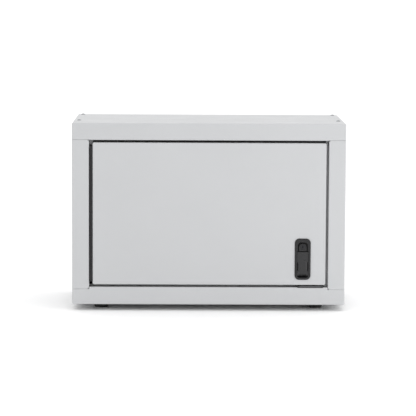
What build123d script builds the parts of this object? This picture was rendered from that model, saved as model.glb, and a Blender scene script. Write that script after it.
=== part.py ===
# Lockable phone charging cabinet in folded sheet steel.
# Millimetres. X to the right, Y to the back, Z up, origin on the floor under the middle of the body.
import os
from math import asin, cos, radians, sin, tan

from build123d import *

os.makedirs("parts", exist_ok=True)

# ---- driving dimensions ----
BODY_W = 600.0
BODY_H = 400.0
BODY_D = 300.0
FOOT_H = 14.0
SHEET = 1.5
BEND = 2.5            # outside radius of a fold
TOP_RAIL = 37.4       # face of the frame above, below and beside the opening
SILL_RAIL = 38.8
STILE = 37.2
CAP_SKIRT = 36.4      # depth of the top cover's skirt and of the base tray's skirt
TRAY_SKIRT = 34.0
LINING_D = 20.5       # how far the opening is lined back from the front
STOP_W = 14.0         # door stop flange on the lock side
HEAD_STOP = 11.0      # the same flange turned down behind the door's top edge
SEAM = 0.5            # gap between neighbouring panels
TRAY_SEAM = 0.3       # the closer joint above the base tray
HINGE_GAP = 7.8
LOCK_GAP = 5.4
HEAD_GAP = 5.3
SILL_GAP = 5.4

DOOR_SHEET = 1.2
DOOR_SETBACK = 0.2
DOOR_D = 17.0
DOOR_CORNER = 3.5
DOOR_FLANGE = 12.0
LINER = 1.0

KNUCKLES = 12
KNUCKLE_R = HINGE_GAP / 2 - 0.4    # just clears the frame and the door on both sides
PIN_R = 1.5
PIN_FIT = 0.05
LEAF = 1.0
HINGE_MARGIN = 7.0    # the hinge stops this far from the door's ends
HINGE_AXIS_IN = 3.0   # depth of the hinge axis behind the front

HANDLE_W = 35.0
HANDLE_H = 91.5
HANDLE_R = 10.0
HANDLE_PROUD = 2.2
HANDLE_FROM_LOCK_SIDE = 50.4   # handle centre to the door's lock edge
HANDLE_FROM_BOTTOM = 57.6      # handle centre to the door's bottom edge
DISH_WALL = 2.4
DISH_DEEP = 12.5
LEVER_SIDE = 0.5      # running gap between the lever and each wall of its pocket
LEVER_TOP = 17.0      # lever ends, from the handle's centre
LEVER_BOTTOM = -37.6
LEVER_T = 6.0
FINGER_W = 17.0       # notch in the lever's foot
FINGER_TOP = -33.8
GRIP_TOP, GRIP_BOTTOM = -7.0, -26.0
GRIP_W, GRIP_SLOPE = 5.0, 25.0
BOSS_TOP = 34.5
LOCK_UP = 27.0        # key cylinder above the handle's centre
CYL_R = 5.5
SPINDLE_R = 4.0
FIT = 0.1
TONGUE_LONG = 68.0
TONGUE_W = 14.0
TONGUE_T = 2.0

SLOTS = 12
SLOT_PITCH = 42.0
DIVIDER_T = 3.0
DIVIDER_D = 120.0
DIVIDER_H = 128.0
BENCH_TOP = 56.0
BASE_T = 8.0
GROOVE = 4.0
FASCIA_Y = 56.0
SOCKET_Z = 262.0

# ---- derived places ----
HW, HD = BODY_W / 2, BODY_D / 2
LOW = FOOT_H
TOP = FOOT_H + BODY_H
IN_X = HW - SHEET
OPEN_X = HW - STILE
SILL = LOW + SILL_RAIL
HEAD = TOP - TOP_RAIL
TRAY_TOP = LOW + TRAY_SKIRT
CAP_LOW = TOP - CAP_SKIRT
FRONT = -HD
LINING_BACK = FRONT + LINING_D
DOOR_L = -OPEN_X + HINGE_GAP
DOOR_R = OPEN_X - LOCK_GAP
DOOR_B = SILL + SILL_GAP
DOOR_T = HEAD - HEAD_GAP
DOOR_F = FRONT + DOOR_SETBACK
DOOR_BACK = DOOR_F + DOOR_D
LINER_BACK = DOOR_BACK + LINER
HINGE_X = -OPEN_X + HINGE_GAP / 2
HINGE_Y = FRONT + HINGE_AXIS_IN
HX = DOOR_R - HANDLE_FROM_LOCK_SIDE
HZ = DOOR_B + HANDLE_FROM_BOTTOM
BACK_IN = HD - 2 * SHEET
MID_Z = (LOW + TOP) / 2


def save(part, name):
    """Label one piece and write it."""
    part.label = name
    export_step(part, f"parts/{name}.step")


def block(x0, x1, y0, y1, z0, z1, mode=Mode.ADD):
    """An upright block between two corners, for use inside a BuildPart."""
    with BuildSketch(Plane.XY.offset(z0)) as outline:
        with Locations(((x0 + x1) / 2, (y0 + y1) / 2)):
            Rectangle(x1 - x0, y1 - y0)
    extrude(outline.sketch, amount=z1 - z0, mode=mode)


def rod_y(x, z, radius, y0, y1, mode=Mode.ADD):
    """A round bar or bore that runs front to back."""
    with BuildSketch(Plane.XZ.offset(-y0)) as outline:
        with Locations((x, z)):
            Circle(radius)
    extrude(outline.sketch, amount=-(y1 - y0), mode=mode)


def rod_z(x, y, radius, z0, z1, mode=Mode.ADD):
    """An upright round bar or bore."""
    with BuildSketch(Plane.XY.offset(z0)) as outline:
        with Locations((x, y)):
            Circle(radius)
    extrude(outline.sketch, amount=z1 - z0, mode=mode)


def rod_x(y, z, radius, x0, x1, mode=Mode.ADD):
    """A round bar or bore that runs left to right."""
    with BuildSketch(Plane.YZ.offset(x0)) as outline:
        with Locations((y, z)):
            Circle(radius)
    extrude(outline.sketch, amount=x1 - x0, mode=mode)


def slab_y(x, z, w, h, radius, y0, y1, mode=Mode.ADD):
    """A plate with rounded corners that faces the front."""
    with BuildSketch(Plane.XZ.offset(-y0)) as outline:
        with Locations((x, z)):
            RectangleRounded(w, h, radius)
    extrude(outline.sketch, amount=-(y1 - y0), mode=mode)


def copies(one, places):
    """The same piece set down at each place."""
    with BuildPart() as group:
        with Locations(*places):
            add(one)
    return group.part


def domed_screw(head_r, head_h, shank_r, shank_l):
    """A screw with a low domed head that stands on the level face at z = 0."""
    rim = 0.2 * head_h
    dome = head_h - rim
    ball = (head_r**2 + dome**2) / (2 * dome)
    half = asin(head_r / ball) / 2
    crown = (ball * sin(half), head_h - ball + ball * cos(half))
    with BuildPart() as screw:
        with BuildSketch(Plane.XZ):
            with BuildLine():
                Polyline((0, head_h), (0, -shank_l), (shank_r, -shank_l), (shank_r, 0), (head_r, 0),
                         (head_r, rim))
                ThreePointArc((head_r, rim), crown, (0, head_h))
            make_face()
        revolve(axis=Axis.Z)
    return screw.part


def back_screws(sites, plane_y, head_r=3.5, head_h=1.6, shank_r=1.5, shank_l=6.0, facing=1):
    """Screws whose heads stand on a face that looks to the back (1) or to the front (-1)."""
    one = domed_screw(head_r, head_h, shank_r, shank_l).rotate(Axis.X, -90 * facing)
    return copies(one, [(x, plane_y, z) for x, z in sites])


# ---- seam rivets: flush heads that hold the skirts to the side panels ----
RIVET_HEAD, RIVET_SHANK, RIVET_TAIL = 3.2, 1.6, 2.6
RIVET_YS = [-0.36 * BODY_D, 0, 0.36 * BODY_D]
RIVET_ZS = [TRAY_TOP - 10, CAP_LOW + 10]


def seam_rivet(x_out, y, z, side):
    """One rivet: countersunk head flush outside, shank through both sheets, set tail inside."""
    with BuildPart() as rivet:
        with BuildSketch(Plane.XZ):
            with BuildLine():
                Polyline(
                    (0, 0), (RIVET_HEAD, 0), (RIVET_SHANK, -SHEET), (RIVET_SHANK, -2 * SHEET),
                    (RIVET_TAIL, -2 * SHEET), (RIVET_TAIL, -2 * SHEET - 1), (0, -2 * SHEET - 1), close=True)
            make_face()
        revolve(axis=Axis.Z)
    return Pos(x_out, y, z) * rivet.part.rotate(Axis.Y, 90 * side)


rivets = [seam_rivet(s * HW, y, z, s) for s in (-1, 1) for y in RIVET_YS for z in RIVET_ZS]

# ---- piano hinge: alternate knuckles, leaves on the opening's lining and on the door's flange ----
HINGE_Z0 = DOOR_B + HINGE_MARGIN
KNUCKLE_H = (DOOR_T - DOOR_B - 2 * HINGE_MARGIN) / KNUCKLES
KNUCKLE_GAP = 0.5
LEAF_START = 4.2
LEAF_END = 13.5


def hinge_leaf(side):
    """One leaf with its own knuckles: side=-1 sits on the frame, 1 on the door."""
    wall = HINGE_X + side * HINGE_GAP / 2
    x0, x1 = sorted((wall, wall - side * LEAF))
    with BuildPart() as leaf:
        block(x0, x1, HINGE_Y + LEAF_START, HINGE_Y + LEAF_END, HINGE_Z0, HINGE_Z0 + KNUCKLES * KNUCKLE_H)
        for i in range(0 if side == -1 else 1, KNUCKLES, 2):
            z0 = HINGE_Z0 + i * KNUCKLE_H + KNUCKLE_GAP / 2
            z1 = z0 + KNUCKLE_H - KNUCKLE_GAP
            rod_z(HINGE_X, HINGE_Y, KNUCKLE_R, z0, z1)
            block(x0, x1, HINGE_Y, HINGE_Y + LEAF_START, z0, z1)
        rod_z(HINGE_X, HINGE_Y, PIN_R + PIN_FIT, HINGE_Z0 - 1, DOOR_T, Mode.SUBTRACT)
        for z in hinge_rivet_zs:
            rod_x(HINGE_Y + LEAF_END - 4.5, z, 1.2, x0 - 1, x1 + 1, Mode.SUBTRACT)
    return leaf.part


hinge_rivet_zs = [HINGE_Z0 + (i + 0.5) * 2 * KNUCKLE_H for i in range(KNUCKLES // 2)]
save(hinge_leaf(-1), "hinge_leaf_frame")
save(hinge_leaf(1), "hinge_leaf_door")
with BuildPart() as hinge_pin:
    rod_z(HINGE_X, HINGE_Y, PIN_R, HINGE_Z0 - 0.5, HINGE_Z0 + KNUCKLES * KNUCKLE_H + 0.5)
save(hinge_pin.part, "hinge_pin")


def hinge_rivets(side, wall_t):
    """Flat rivets through a leaf and the sheet behind it."""
    wall = HINGE_X + side * HINGE_GAP / 2
    face = wall - side * LEAF
    y = HINGE_Y + LEAF_END - 4.5
    with BuildPart() as group:
        for z in hinge_rivet_zs:
            x0, x1 = sorted((face, wall + side * wall_t))
            rod_x(y, z, 1.2, x0, x1)
            x0, x1 = sorted((face, face - side * 0.5))
            rod_x(y, z, 2.0, x0, x1)
            x0, x1 = sorted((wall + side * wall_t, wall + side * (wall_t + 0.8)))
            rod_x(y, z, 2.0, x0, x1)
    return group.part


frame_hinge_rivets = hinge_rivets(-1, SHEET)
door_hinge_rivets = hinge_rivets(1, DOOR_SHEET)
save(frame_hinge_rivets, "hinge_rivets_frame")
save(door_hinge_rivets, "hinge_rivets_door")

# ---- top cover: a folded cap with its own front rail, lined at the opening ----
TOP_SCREW_X = HW - 12.0
TOP_SCREW_SITES = [(s * TOP_SCREW_X, y) for s in (-1, 1) for y in (FRONT + 86.0, HD - 15.0)]
SCREW_HOLE = 2.0
LINING_LAP = 6.0      # how far a lining's front strip runs up inside its rail


def lining(z_edge, inward, x_half, stop=0.0):
    """Folded rail edge: front strip, the lining that runs back from it and, where asked, a door stop."""
    path = [
        (FRONT + SHEET / 2, z_edge + inward * LINING_LAP), (FRONT + SHEET / 2, z_edge + inward * SHEET / 2),
        (LINING_BACK, z_edge + inward * SHEET / 2)]
    if stop:
        path[-1] = (LINING_BACK - SHEET / 2, z_edge + inward * SHEET / 2)
        path.append((LINING_BACK - SHEET / 2, z_edge - inward * stop))
    with BuildSketch(Plane.YZ.offset(-x_half)) as section:
        with BuildLine():
            FilletPolyline(*path, radius=BEND - SHEET / 2)
        trace(line_width=SHEET)
    extrude(section.sketch, amount=2 * x_half)


with BuildPart() as top_cover:
    with BuildSketch(Plane.XY.offset(CAP_LOW)):
        RectangleRounded(BODY_W, BODY_D, BEND)
    extrude(amount=CAP_SKIRT)
    fillet(top_cover.faces().sort_by(Axis.Z)[-1].edges(), BEND)
    with BuildSketch(Plane.XY.offset(CAP_LOW)):
        RectangleRounded(BODY_W - 2 * SHEET, BODY_D - 2 * SHEET, BEND - SHEET)
    extrude(amount=CAP_SKIRT - SHEET, mode=Mode.SUBTRACT)
    lining(HEAD, 1, OPEN_X - SEAM, HEAD_STOP)
    for x, y in TOP_SCREW_SITES:
        rod_z(x, y, SCREW_HOLE, TOP - SHEET, TOP, Mode.SUBTRACT)
    for rivet in rivets:
        add(rivet, mode=Mode.SUBTRACT)
save(top_cover.part, "top_cover")

# ---- base tray: the same fold upside down, with the sill and the catch notch ----
CATCH_W = 57.3
CATCH_LOW = SILL - 1.0
CATCH_TOP = SILL + 3.5
CATCH_END = DOOR_R - 4.5
CATCH_X = CATCH_END - CATCH_W / 2
CATCH_D = 17.0
CATCH_CLEAR = 0.2
FOOT_X, FOOT_Y, FOOT_R = HW - 62.0, HD - 62.0, 17.0
FOOT_SITES = [(sx * FOOT_X, sy * FOOT_Y) for sx in (-1, 1) for sy in (-1, 1)]
CATCH_SCREW_XS = (CATCH_X - 18.0, CATCH_X + 18.0)

with BuildPart() as base_tray:
    with BuildSketch(Plane.XY.offset(LOW)):
        RectangleRounded(BODY_W, BODY_D, BEND)
    extrude(amount=TRAY_SKIRT)
    fillet(base_tray.faces().sort_by(Axis.Z)[0].edges(), BEND)
    with BuildSketch(Plane.XY.offset(LOW + SHEET)):
        RectangleRounded(BODY_W - 2 * SHEET, BODY_D - 2 * SHEET, BEND - SHEET)
    extrude(amount=TRAY_SKIRT - SHEET, mode=Mode.SUBTRACT)
    lining(SILL, -1, OPEN_X - SEAM)
    slab_y(CATCH_X, (CATCH_LOW + CATCH_TOP) / 2, CATCH_W + 2 * CATCH_CLEAR,
           CATCH_TOP - CATCH_LOW + 2 * CATCH_CLEAR, 2.2, FRONT - 1, FRONT + CATCH_D, Mode.SUBTRACT)
    block(CATCH_X - CATCH_W / 2 - CATCH_CLEAR, CATCH_X + CATCH_W / 2 + CATCH_CLEAR,
          FRONT + SHEET, FRONT + CATCH_D, SILL - 2 * SHEET, SILL + 1, Mode.SUBTRACT)
    for x, y in FOOT_SITES:
        rod_z(x, y, SCREW_HOLE, LOW, LOW + SHEET, Mode.SUBTRACT)
    for rivet in rivets:
        add(rivet, mode=Mode.SUBTRACT)
save(base_tray.part, "base_tray")

# ---- side panels: rear flange, outer wall, front stile, lining; the lock side adds the door stop ----
REAR_FLANGE = 20.0
TAB_IN, TAB_LAP = 22.0, 8.0
TOP_FLANGE = 24.0
VENT_ROWS, VENT_PITCH, VENT_L, VENT_H = 7, 11.0, 48.0, 4.4
VENT_Y = 62.0
BACK_SCREW_X = HW - REAR_FLANGE / 2 - SHEET
BACK_SCREW_SITES = [(s * BACK_SCREW_X, MID_Z + f * BODY_H) for s in (-1, 1) for f in (-0.3, 0, 0.3)]


def side_panel(side):
    """One folded side, side=-1 for the hinge side and 1 for the lock side."""
    half = SHEET / 2
    path = [
        (side * (HW - REAR_FLANGE), HD - half), (side * (HW - half), HD - half),
        (side * (HW - half), FRONT + half), (side * (OPEN_X + half), FRONT + half),
        (side * (OPEN_X + half), LINING_BACK - half)]
    if side == 1:
        path.append((OPEN_X - STOP_W, LINING_BACK - half))
    low, high = TRAY_TOP + TRAY_SEAM, CAP_LOW - SEAM
    with BuildPart() as panel:
        with BuildSketch(Plane.XY.offset(low)):
            with BuildLine():
                FilletPolyline(*path, radius=BEND - half)
            trace(line_width=SHEET)
        extrude(amount=high - low)
        x_in, x_tab = side * IN_X, side * (IN_X - SHEET)
        for z0, z1 in ((low - TAB_IN, low + TAB_LAP), (high - TAB_LAP, TOP - SHEET)):
            block(min(x_in, x_tab), max(x_in, x_tab), -HD + 6, HD - 2 * SHEET - 2, z0, z1)
            if z1 < HEAD:
                front_z1 = z1
            else:
                front_z1 = z0 + TAB_IN + TAB_LAP - 2
            x0, x1 = sorted((side * (OPEN_X + 3.0), side * (IN_X - 4.0)))
            block(x0, x1, FRONT + SHEET, FRONT + 2 * SHEET, z0, front_z1)
        x0, x1 = sorted((x_in, side * (IN_X - TOP_FLANGE)))
        block(x0, x1, -HD + 6, HD - 2 * SHEET - 2, TOP - 2 * SHEET, TOP - SHEET)
        if side == 1:
            for z0, z1 in ((low - 1, SILL + SEAM), (HEAD - HEAD_STOP - SEAM, high + 1)):
                block(OPEN_X - STOP_W - 1, OPEN_X, LINING_BACK - BEND - 0.1, LINING_BACK + 0.1, z0, z1,
                      Mode.SUBTRACT)
        for x, y in TOP_SCREW_SITES:
            rod_z(x, y, SCREW_HOLE, TOP - 2 * SHEET, TOP - SHEET, Mode.SUBTRACT)
        for rivet in rivets:
            add(rivet, mode=Mode.SUBTRACT)
        if side == -1:
            add(frame_hinge_rivets, mode=Mode.SUBTRACT)
        for x, z in BACK_SCREW_SITES:
            rod_y(x, z, 1.5, HD - SHEET - 1, HD + 1, Mode.SUBTRACT)
        for row in range(VENT_ROWS):
            z = MID_Z + (row - (VENT_ROWS - 1) / 2) * VENT_PITCH
            with BuildSketch(Plane.YZ.offset(side * HW)):
                with Locations((VENT_Y, z)):
                    SlotOverall(VENT_L, VENT_H)
            extrude(amount=-side * 2 * SHEET, mode=Mode.SUBTRACT)
        # corner reliefs where the stile's lining meets the sill's and the head's
        for z, way in ((low, 1), (high, -1)):
            with BuildSketch(Plane.XZ.offset(HD + 1)):
                with BuildLine():
                    Polyline(
                        (side * (OPEN_X - 1), z - way), (side * (OPEN_X + 4.4), z - way),
                        (side * (OPEN_X - 1), z + way * 4.4), close=True)
                make_face()
            extrude(amount=-(SHEET + 2), mode=Mode.SUBTRACT)
    return panel.part


save(side_panel(-1), "side_panel_left")
save(side_panel(1), "side_panel_right")
save(Compound(children=rivets), "seam_rivets")
top_screw = domed_screw(4.7, 2.2, SCREW_HOLE, 9.0)
save(copies(top_screw, [(x, y, TOP) for x, y in TOP_SCREW_SITES]), "top_screws")

# ---- back panel: wall holes, fan and inlet cut-outs, air slots ----
WALL_X, WALL_Z, WALL_HOLE = 500.0, 300.0, 4.5
WALL_SITES = [(sx * WALL_X / 2, MID_Z + sz * WALL_Z / 2) for sx in (-1, 1) for sz in (-1, 1)]
FAN_X, FAN_Z, FAN_SIZE, FAN_D, FAN_BORE = -170.0, TOP - 84.0, 60.0, 15.0, 28.0
FAN_HOLES = 25.0
INLET_X, INLET_Z, INLET_W, INLET_H, INLET_D = 190.0, LOW + 116.0, 28.0, 74.0, 36.0
INLET_FLANGE_W, INLET_FLANGE_H, INLET_EAR = 34.0, 92.0, 41.0
fan_screw_sites = [(FAN_X + sx * FAN_HOLES, FAN_Z + sz * FAN_HOLES) for sx in (-1, 1) for sz in (-1, 1)]
inlet_screw_sites = [(INLET_X, INLET_Z + s * INLET_EAR) for s in (-1, 1)]
PSU_X, PSU_Z, PSU_W, PSU_H, PSU_D = -40.0, LOW + 130.0, 199.0, 98.0, 38.0
PSU_HOLE_IN = 12.0    # the power supply's screws to its edges
PSU_HOLES = [
    (PSU_X + sx * (PSU_W / 2 - PSU_HOLE_IN), PSU_Z + sz * (PSU_H / 2 - PSU_HOLE_IN))
    for sx in (-1, 1) for sz in (-1, 1)]

with BuildPart() as back_panel:
    back_x = IN_X - SHEET - SEAM
    block(-back_x, back_x, BACK_IN, BACK_IN + SHEET, LOW + SHEET + 3, TOP - 2 * SHEET - 1)
    for x, z in WALL_SITES:
        rod_y(x, z, WALL_HOLE, BACK_IN - 1, HD, Mode.SUBTRACT)
    for x, z in BACK_SCREW_SITES + fan_screw_sites + inlet_screw_sites + PSU_HOLES:
        rod_y(x, z, 1.5, BACK_IN - 1, HD, Mode.SUBTRACT)
    rod_y(FAN_X, FAN_Z, FAN_BORE, BACK_IN - 1, HD, Mode.SUBTRACT)
    slab_y(INLET_X, INLET_Z, INLET_W + 0.4, INLET_H + 0.4, 2.0, BACK_IN - 1, HD, Mode.SUBTRACT)
    with BuildSketch(Plane.XZ.offset(-BACK_IN + 1)):
        with Locations((160.0, FAN_Z)):
            with GridLocations(9.0, 30.0, 12, 2):
                SlotOverall(26.0, 4.2, rotation=90)
    extrude(amount=-SHEET - 2, mode=Mode.SUBTRACT)
save(back_panel.part, "back_panel")

# ---- feet ----
with BuildPart() as foot:
    with BuildSketch(Plane.XZ):
        with BuildLine():
            Polyline((0, FOOT_H - 6), (5.0, FOOT_H - 6), (5.0, 0), (FOOT_R - 2.5, 0), (FOOT_R - 1.5, 1.0),
                     (FOOT_R, FOOT_H), (SCREW_HOLE, FOOT_H), (SCREW_HOLE, FOOT_H - 4), (0, FOOT_H - 4),
                     close=True)
        make_face()
    revolve(axis=Axis.Z)
save(copies(foot.part, [(x, y, 0) for x, y in FOOT_SITES]), "rubber_feet")
foot_screw = domed_screw(3.8, 2.0, SCREW_HOLE, SHEET + 3.9)
save(copies(foot_screw, [(x, y, LOW + SHEET) for x, y in FOOT_SITES]), "foot_screws")

# ---- magnetic catch in the sill notch ----
POLE_Z0, POLE_H, POLE_L = CATCH_LOW + 1.9, 1.0, 46.0
with BuildPart() as catch_body:
    slab_y(CATCH_X, (CATCH_LOW + CATCH_TOP) / 2, CATCH_W, CATCH_TOP - CATCH_LOW, 2.0,
           FRONT + 0.4, FRONT + CATCH_D - CATCH_CLEAR)
    block(CATCH_X - POLE_L / 2, CATCH_X + POLE_L / 2, FRONT + 0.4, FRONT + 9.0,
          POLE_Z0, POLE_Z0 + POLE_H, Mode.SUBTRACT)
    for x in CATCH_SCREW_XS:
        rod_z(x, FRONT + 12.5, 1.2, CATCH_LOW - 1, CATCH_TOP, Mode.SUBTRACT)
    block(CATCH_X - 10, CATCH_X + 10, FRONT + 9.2, FRONT + 15.0, CATCH_LOW - 1, CATCH_TOP - 1, Mode.SUBTRACT)
save(catch_body.part, "catch_body")
with BuildPart() as catch_pole:
    block(CATCH_X - POLE_L / 2, CATCH_X + POLE_L / 2, FRONT + 0.6, FRONT + 9.0, POLE_Z0, POLE_Z0 + POLE_H)
save(catch_pole.part, "catch_pole")
with BuildPart() as catch_magnet:
    block(CATCH_X - 9.8, CATCH_X + 9.8, FRONT + 9.4, FRONT + 14.8, CATCH_LOW, CATCH_TOP - 1.2)
save(catch_magnet.part, "catch_magnet")
catch_screw = domed_screw(2.2, 0.9, 1.2, 3.6)
save(copies(catch_screw, [(x, FRONT + 12.5, CATCH_TOP) for x in CATCH_SCREW_XS]), "catch_screws")

# ---- stop buffers on the lock side ----
BUFFER_R, BUFFER_GAP = 3.5, 0.3
stop_face = LINING_BACK - SHEET
with BuildPart() as stop_buffers:
    for z in (DOOR_B + 40.0, DOOR_T - 40.0):
        rod_y(OPEN_X - STOP_W / 2 - 1.5, z, BUFFER_R, DOOR_BACK + BUFFER_GAP, stop_face)
save(stop_buffers.part, "stop_buffers")
save(back_screws(BACK_SCREW_SITES, HD, 3.6, 1.6, 1.5, 8.0), "back_screws")

# ---- door: folded pan with a cut-out for the handle ----
DISH_W, DISH_H = HANDLE_W - 5.0, HANDLE_H - 5.0    # the part of the dish that passes through the door
DISH_FIT = 0.3
door_w, door_h = DOOR_R - DOOR_L, DOOR_T - DOOR_B
door_x, door_z = (DOOR_L + DOOR_R) / 2, (DOOR_B + DOOR_T) / 2
LINER_W, LINER_H = door_w - 2 * DOOR_FLANGE - 2.0, door_h - 2 * DOOR_FLANGE - 2.0
liner_x = door_x
CYL_BACK_HOLE = 9.0
LINER_RIVET_IN = 5.0
liner_rivet_sites = [
    (liner_x + sx * (LINER_W / 2 - LINER_RIVET_IN), door_z + f * LINER_H)
    for sx in (-1, 1) for f in (-0.4, 0, 0.4)]

with BuildPart() as door_panel:
    slab_y(door_x, door_z, door_w, door_h, DOOR_CORNER, DOOR_F, DOOR_BACK)
    fillet(door_panel.faces().sort_by(Axis.Y)[0].edges(), BEND - 0.4)
    slab_y(door_x, door_z, door_w - 2 * DOOR_SHEET, door_h - 2 * DOOR_SHEET, DOOR_CORNER - DOOR_SHEET,
           DOOR_F + DOOR_SHEET, DOOR_BACK - DOOR_SHEET, Mode.SUBTRACT)
    slab_y(door_x, door_z, door_w - 2 * DOOR_FLANGE - 12, door_h - 2 * DOOR_FLANGE - 12, 2.0,
           DOOR_BACK - DOOR_SHEET - 1, DOOR_BACK + 1, Mode.SUBTRACT)
    slab_y(HX, HZ, DISH_W + 2 * DISH_FIT, DISH_H + 2 * DISH_FIT, HANDLE_R - 2.5 + DISH_FIT, DOOR_F - 1,
           DOOR_F + DOOR_SHEET + 1, Mode.SUBTRACT)
    add(door_hinge_rivets, mode=Mode.SUBTRACT)
    for x, z in liner_rivet_sites:
        rod_y(x, z, 1.2, DOOR_BACK - DOOR_SHEET - 1, DOOR_BACK + 1, Mode.SUBTRACT)
save(door_panel.part, "door_panel")

with BuildPart() as door_liner:
    slab_y(liner_x, door_z, LINER_W, LINER_H, 3.0, DOOR_BACK, LINER_BACK)
    rod_y(HX, HZ + LOCK_UP, CYL_BACK_HOLE, DOOR_BACK - 1, LINER_BACK + 1, Mode.SUBTRACT)
    for x, z in liner_rivet_sites:
        rod_y(x, z, 1.2, DOOR_BACK - 1, LINER_BACK + 1, Mode.SUBTRACT)
save(door_liner.part, "door_liner")
with BuildPart() as liner_rivets:
    for x, z in liner_rivet_sites:
        rod_y(x, z, 1.2, DOOR_BACK - DOOR_SHEET, LINER_BACK)
        rod_y(x, z, 2.2, LINER_BACK, LINER_BACK + 0.8)
        rod_y(x, z, 2.2, DOOR_BACK - DOOR_SHEET - 0.8, DOOR_BACK - DOOR_SHEET)
save(liner_rivets.part, "liner_rivets")

# ---- stiffener: a hat section glued down the middle of the door ----
with BuildPart() as door_stiffener:
    hat_z = door_h - 2 * DOOR_FLANGE - 24
    brim_y, crown_y = DOOR_F + DOOR_SHEET + 0.5, DOOR_BACK - DOOR_SHEET - 1.2
    with BuildSketch(Plane.XY.offset(door_z - hat_z / 2)):
        with BuildLine():
            FilletPolyline(
                (-34, brim_y), (-20, brim_y), (-14, crown_y), (14, crown_y), (20, brim_y), (34, brim_y),
                radius=1.5)
        trace(line_width=1.0)
    extrude(amount=hat_z)
save(door_stiffener.part, "door_stiffener")

# ---- handle dish: rim over the door, pocket behind it, fixed boss for the lock ----
RIM_F = DOOR_F - HANDLE_PROUD
POCKET_W, POCKET_H = DISH_W - 2 * DISH_WALL, DISH_H - 2 * DISH_WALL + 1.0
POCKET_R = HANDLE_R - 4.0
FLOOR_Y = RIM_F + DISH_DEEP
BOSS_W = 17.5
ARCH_W, ARCH_TOP = 21.6, 37.4    # narrower pocket round the boss
BOSS_GAP = 0.8        # between the lever's top end and the boss
LEVER_W = POCKET_W - 2 * LEVER_SIDE
BOSS_F = RIM_F + 0.5
LEVER_F = RIM_F + 0.2
LEVER_ROUND = 3.6     # the lever's top end is round about its pin, so that it clears the boss
PIVOT_Z = HZ + LEVER_TOP - LEVER_ROUND
PIVOT_Y = LEVER_F + LEVER_ROUND
PIVOT_R = 1.2
lock_z = HZ + LOCK_UP

with BuildPart() as handle_dish:
    slab_y(HX, HZ, HANDLE_W, HANDLE_H, HANDLE_R, RIM_F, DOOR_F)
    fillet(handle_dish.faces().sort_by(Axis.Y)[0].edges(), 1.2)
    slab_y(HX, HZ, DISH_W, DISH_H, HANDLE_R - 2.5, DOOR_F, FLOOR_Y + DISH_WALL)
    # raised bead round the pocket
    with BuildSketch(Plane.XZ.offset(-RIM_F - 0.3)):
        with Locations((HX, HZ)):
            RectangleRounded(HANDLE_W - 5.0, HANDLE_H - 5.0, HANDLE_R - 2.5)
            RectangleRounded(POCKET_W, POCKET_H, POCKET_R, mode=Mode.SUBTRACT)
    extrude(amount=0.9)
    low_z, high_z = HZ - POCKET_H / 2, HZ + LEVER_TOP + BOSS_GAP
    slab_y(HX, (low_z + high_z) / 2, POCKET_W, high_z - low_z, POCKET_R, RIM_F - 1, FLOOR_Y, Mode.SUBTRACT)
    block(HX - POCKET_W / 2, HX + POCKET_W / 2, RIM_F - 1, FLOOR_Y, HZ, high_z, Mode.SUBTRACT)
    slab_y(HX, HZ + ARCH_TOP / 2, ARCH_W, ARCH_TOP, POCKET_R, RIM_F - 1, FLOOR_Y, Mode.SUBTRACT)
    # finger ramp at the foot of the pocket
    with BuildSketch(Plane.YZ.offset(HX - POCKET_W / 2)):
        with BuildLine():
            Polyline(
                (FLOOR_Y, HZ - POCKET_H / 2 - 0.1), (FLOOR_Y, HZ - POCKET_H / 2 + 2.6),
                (FLOOR_Y - 5.0, HZ - POCKET_H / 2 + 2.0), (RIM_F + 0.6, HZ - POCKET_H / 2 - 0.1), close=True)
        make_face()
    extrude(amount=POCKET_W)
    # barrel for the cylinder, behind the pocket
    rod_y(HX, lock_z, 8.0, FLOOR_Y, LINER_BACK)
    rod_y(HX, lock_z, SPINDLE_R + FIT, FLOOR_Y, LINER_BACK + 1, Mode.SUBTRACT)
    # bearing holes for the lever pin
    rod_x(PIVOT_Y, PIVOT_Z, PIVOT_R, HX - DISH_W / 2 + 0.4, HX + DISH_W / 2 - 0.4, Mode.SUBTRACT)
save(handle_dish.part, "handle_dish")

# ---- lock boss: arched block on the pocket's floor that holds the key cylinder ----
with BuildPart() as lock_boss:
    spring_z = HZ + BOSS_TOP - BOSS_W / 2
    with BuildSketch(Plane.XZ.offset(-BOSS_F)):
        with BuildLine():
            Polyline((HX - BOSS_W / 2, spring_z), (HX - BOSS_W / 2, high_z), (HX + BOSS_W / 2, high_z),
                     (HX + BOSS_W / 2, spring_z))
            ThreePointArc((HX + BOSS_W / 2, spring_z), (HX, HZ + BOSS_TOP), (HX - BOSS_W / 2, spring_z))
        make_face()
    extrude(amount=-(FLOOR_Y - BOSS_F))
    fillet(lock_boss.faces().sort_by(Axis.Y)[0].edges(), 0.9)
    rod_y(HX, lock_z, CYL_R + FIT, BOSS_F - 1, FLOOR_Y, Mode.SUBTRACT)
save(lock_boss.part, "lock_boss")

with BuildPart() as lever_pin:
    rod_x(PIVOT_Y, PIVOT_Z, PIVOT_R, HX - DISH_W / 2 + 0.5, HX + DISH_W / 2 - 0.5)
save(lever_pin.part, "lever_pin")

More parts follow.
